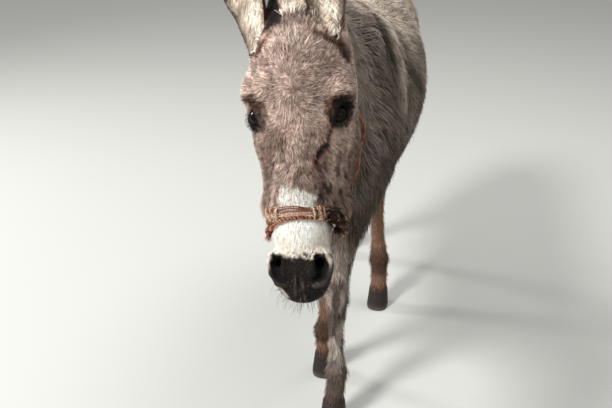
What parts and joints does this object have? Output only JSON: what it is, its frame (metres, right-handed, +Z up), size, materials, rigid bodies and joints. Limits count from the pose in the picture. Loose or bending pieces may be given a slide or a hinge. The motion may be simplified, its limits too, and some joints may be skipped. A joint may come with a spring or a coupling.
{
  "type": "standing donkey",
  "caption": "Grey-brown donkey standing with its head lowered to the viewer, shaggy coat, white muzzle, long ears, dark hooves, in a knotted twine halter",
  "frame": {"origin": "middle of the whole outline's box, on the floor that the hooves stand on", "axes": "the donkey faces -Y, its own left side is +X, +Z is up"},
  "size_m": [0.4256, 1.6862, 1.3874],
  "materials": {
    "coat": "matte haired hide",
    "face": "matte haired hide",
    "leg": "matte haired hide",
    "hoof": "matte horn",
    "eye": "wet gloss",
    "twine": "twisted twine"
  },
  "bodies": {
    "root": {"trunk": "coat", "tail": "coat", "neck": "coat", "head": "face", "ear_left": "face", "ear_right": "face", "eye_left": "eye", "eye_right": "eye", "halter_noseband_upper": "twine", "halter_noseband_lower": "twine", "halter_cheek_left": "twine", "halter_cheek_right": "twine", "halter_knot_left": "twine", "halter_knot_right": "twine", "leg_fore_left_upper": "leg", "leg_fore_left_lower": "leg", "leg_fore_right_upper": "leg", "leg_fore_right_lower": "leg", "leg_hind_left_upper": "leg", "leg_hind_left_lower": "leg", "leg_hind_right_upper": "leg", "leg_hind_right_lower": "leg", "hoof_fore_left": "hoof", "hoof_fore_right": "hoof", "hoof_hind_left": "hoof", "hoof_hind_right": "hoof"}
  },
  "joints": []
}
